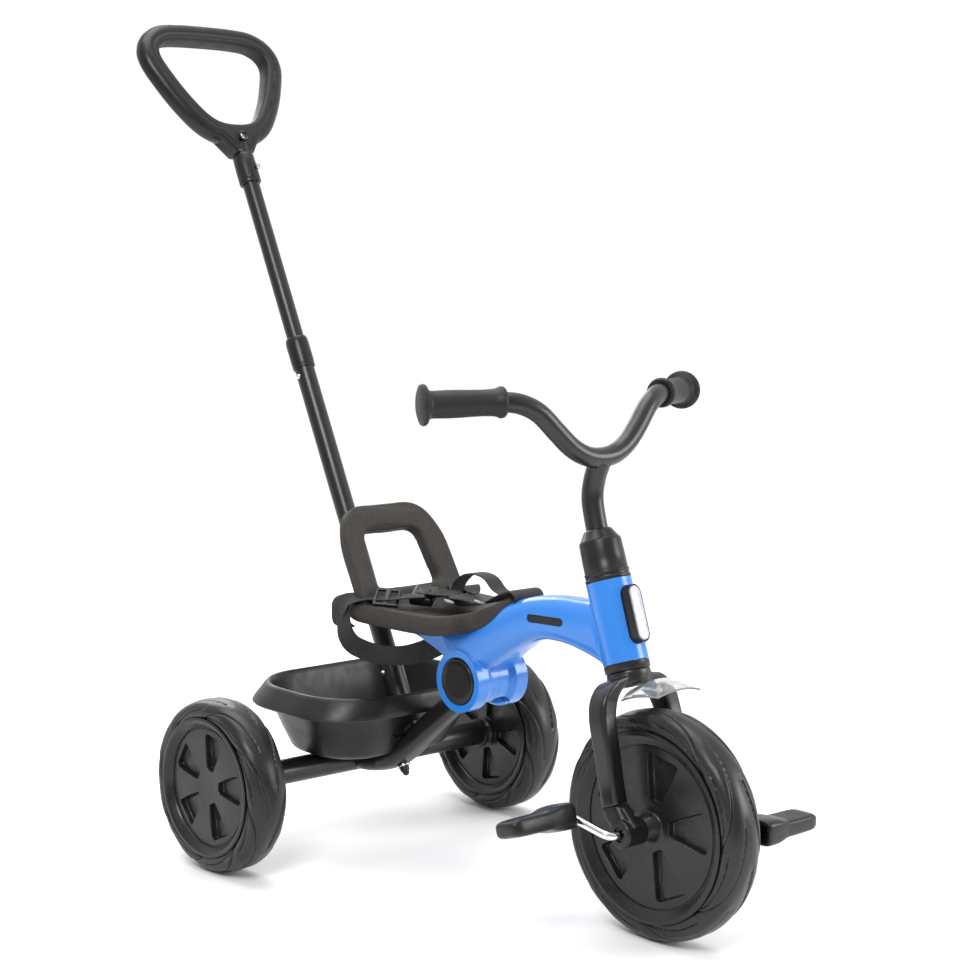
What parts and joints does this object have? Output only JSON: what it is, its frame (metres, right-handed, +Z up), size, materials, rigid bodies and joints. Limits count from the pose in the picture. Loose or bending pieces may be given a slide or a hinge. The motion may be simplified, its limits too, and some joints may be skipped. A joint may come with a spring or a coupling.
{
  "type": "children's tricycle",
  "caption": "Folding children's tricycle with a front pedal wheel, two rear wheels, a moulded seat with harness, a rear basket and a telescopic parent push handle.",
  "frame": {"origin": "on the ground, under the middle of the object's bounding box", "axes": "+Z up, the rider faces -Y, +X is the rider's left"},
  "size_m": [0.493, 0.988, 1.0093],
  "materials": {
    "frame_plastic": "glossy mid blue",
    "wheel_foam": "matte moulded foam",
    "clear_guard": "clear moulded plastic",
    "grip_rubber": "matte",
    "chrome": "bright",
    "bare_steel": "plain",
    "black_steel": "satin powder coat",
    "seat_plastic": "fine grain",
    "webbing": "woven",
    "lens": "ribbed behind a smooth face",
    "black_plastic": "satin moulded"
  },
  "bodies": {
    "main_frame": {"frame_shell_right": "frame_plastic", "frame_shell_left": "frame_plastic", "head_tube": "bare_steel", "headset_bearing_lower": "bare_steel", "headset_bearing_upper": "bare_steel", "spine_tube": "bare_steel", "beam_inlay_right": "black_plastic", "beam_inlay_left": "black_plastic", "reflector_bezel": "black_plastic", "reflector_lens": "lens", "hinge_pin": "bare_steel", "seat_shell": "seat_plastic", "strap_crotch": "webbing", "strap_lap_right": "webbing", "strap_lap_left": "webbing", "harness_buckle": "black_plastic", "strap_adjuster": "black_plastic"},
    "steering": {"fork": "black_steel", "dropout_right": "black_plastic", "dropout_left": "black_plastic", "steerer_tube": "bare_steel", "bar_collar": "black_plastic", "handlebar": "black_steel", "grip_right": "grip_rubber", "grip_left": "grip_rubber", "tyre_guard": "clear_guard"},
    "front_wheel": {"front_tyre": "wheel_foam", "front_disc_right": "black_plastic", "front_disc_left": "black_plastic", "crank_rod": "chrome"},
    "pedal_right": {"pedal_right": "black_plastic"},
    "pedal_left": {"pedal_left": "black_plastic"},
    "rear_frame": {"rear_stay": "black_steel", "axle_tube": "black_steel", "axle_rod": "bare_steel", "axle_collar_right": "black_plastic", "axle_collar_left": "black_plastic", "handle_socket": "black_steel", "socket_snap_pin": "chrome", "basket": "black_plastic", "basket_bolt": "bare_steel"},
    "rear_wheel_right": {"rear_tyre_right": "wheel_foam", "rear_disc_outer_right": "black_plastic", "rear_disc_inner_right": "black_plastic"},
    "rear_wheel_left": {"rear_tyre_left": "wheel_foam", "rear_disc_outer_left": "black_plastic", "rear_disc_inner_left": "black_plastic"},
    "hinge_button_right": {"hinge_button_right": "black_plastic"},
    "hinge_button_left": {"hinge_button_left": "black_plastic"},
    "handle_lower": {"handle_lower_tube": "black_steel", "handle_collar": "black_plastic", "height_snap_pin": "chrome"},
    "handle_upper": {"handle_upper_tube": "black_steel", "grip_core": "grip_rubber", "grip_rim": "black_plastic", "neck_clamp": "black_plastic", "clamp_bolt": "bare_steel", "grip_screw": "bare_steel"}
  },
  "joints": [
    {"name": "steer", "type": "hinge", "parent": "main_frame", "child": "steering", "pos_m": [0, -0.36868, 0.125], "axis": [0, 0.3305, 0.9438], "range_deg": [-35, 35]},
    {"name": "front_wheel_spin", "type": "hinge", "parent": "steering", "child": "front_wheel", "pos_m": [0, -0.36868, 0.125], "axis": [1, 0, 0], "continuous": true},
    {"name": "pedal_right_spin", "type": "hinge", "parent": "front_wheel", "child": "pedal_right", "pos_m": [0, -0.31774, 0.13961], "axis": [1, 0, 0], "continuous": true},
    {"name": "pedal_left_spin", "type": "hinge", "parent": "front_wheel", "child": "pedal_left", "pos_m": [0, -0.41963, 0.11039], "axis": [1, 0, 0], "continuous": true},
    {"name": "fold", "type": "hinge", "parent": "main_frame", "child": "rear_frame", "pos_m": [0, -0.08328, 0.236], "axis": [-1, 0, 0], "range_deg": [0, 45]},
    {"name": "rear_wheel_right_spin", "type": "hinge", "parent": "rear_frame", "child": "rear_wheel_right", "pos_m": [-0.22, 0.12472, 0.1016], "axis": [1, 0, 0], "continuous": true},
    {"name": "rear_wheel_left_spin", "type": "hinge", "parent": "rear_frame", "child": "rear_wheel_left", "pos_m": [0.22, 0.12472, 0.1016], "axis": [1, 0, 0], "continuous": true},
    {"name": "hinge_button_right_press", "type": "slide", "parent": "main_frame", "child": "hinge_button_right", "axis": [1, 0, 0], "range_m": [0, 0.005], "stiffness_N_per_m": 600, "springref_m": -0.001},
    {"name": "hinge_button_left_press", "type": "slide", "parent": "main_frame", "child": "hinge_button_left", "axis": [-1, 0, 0], "range_m": [0, 0.005], "stiffness_N_per_m": 600, "springref_m": -0.001},
    {"name": "handle_lift_out", "type": "slide", "parent": "rear_frame", "child": "handle_lower", "axis": [0, 0.4478, 0.8942], "range_m": [0, 0.1]},
    {"name": "handle_height", "type": "slide", "parent": "handle_lower", "child": "handle_upper", "axis": [0, 0.4478, 0.8942], "range_m": [-0.15, 0]}
  ]
}
